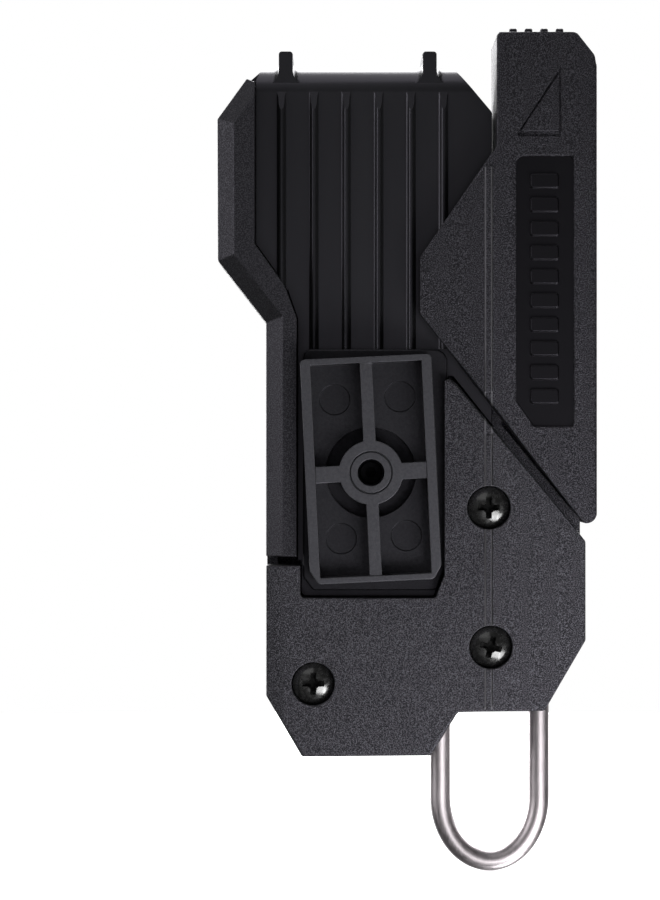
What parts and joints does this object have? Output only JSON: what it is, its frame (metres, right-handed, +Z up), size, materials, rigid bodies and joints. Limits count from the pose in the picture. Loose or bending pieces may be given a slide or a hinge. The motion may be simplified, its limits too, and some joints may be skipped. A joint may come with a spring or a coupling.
{
  "type": "locking belt tool dock",
  "caption": "Belt-worn locking tool dock with a ribbed back panel, swivelling mount block, press-down release lever, sprung latch bolt and steel lanyard loop.",
  "frame": {"origin": "centre of the mount block's hub, level with the block's outer rim", "axes": "-Y out of the mount block towards the belt, +Z up along the release lever, +X towards the lever as seen from the belt side"},
  "size_m": [0.0746, 0.0355, 0.1668],
  "materials": {
    "housing_plastic": "fine spark-textured moulding",
    "panel_plastic": "smooth satin moulding",
    "block_plastic": "dry matte moulding",
    "acetal": "smooth, slightly waxy",
    "zinc_steel": "zinc plated",
    "spring_steel": "bright drawn wire",
    "polished_steel": "polished stainless rod",
    "black_screw": "glossy black zinc",
    "rubber": "matte"
  },
  "bodies": {
    "housing": {"front_shell": "housing_plastic", "back_cover": "housing_plastic", "side_rail": "housing_plastic", "ribbed_panel": "panel_plastic", "swivel_seat": "block_plastic", "lanyard_loop": "polished_steel", "loop_anchor": "zinc_steel", "dock_bumper": "rubber", "cover_screws": "black_screw", "panel_screws": "black_screw", "seat_screws": "black_screw", "rail_screws": "black_screw", "lever_stop_pin": "zinc_steel", "lever_spring": "spring_steel", "latch_spring": "spring_steel"},
    "lever": {"release_lever": "housing_plastic", "release_link": "zinc_steel", "link_screw": "zinc_steel"},
    "latch": {"latch_bolt": "acetal"},
    "belt_block": {"mount_block": "block_plastic", "swivel_spindle": "zinc_steel", "swivel_washer": "acetal", "spindle_clip": "spring_steel", "hub_screw": "black_screw"}
  },
  "joints": [
    {"name": "lever_press", "type": "slide", "parent": "housing", "child": "lever", "axis": [0, 0, -1], "range_m": [0, 0.0025], "stiffness_N_per_m": 900, "springref_m": -0.005, "deforming": ["lever_spring"]},
    {"name": "latch_slide", "type": "slide", "parent": "housing", "child": "latch", "axis": [0, -1, 0], "range_m": [0, 0.0025], "stiffness_N_per_m": 300, "springref_m": -0.004, "deforming": ["latch_spring"]},
    {"name": "block_swivel", "type": "hinge", "parent": "housing", "child": "belt_block", "pos_m": [0, 0, 0], "axis": [0, -1, 0], "range_deg": [-6.2, 0.8]}
  ],
  "couplings": [
    {"joint": "latch_slide", "follows": "lever_press", "ratio": 1}
  ]
}
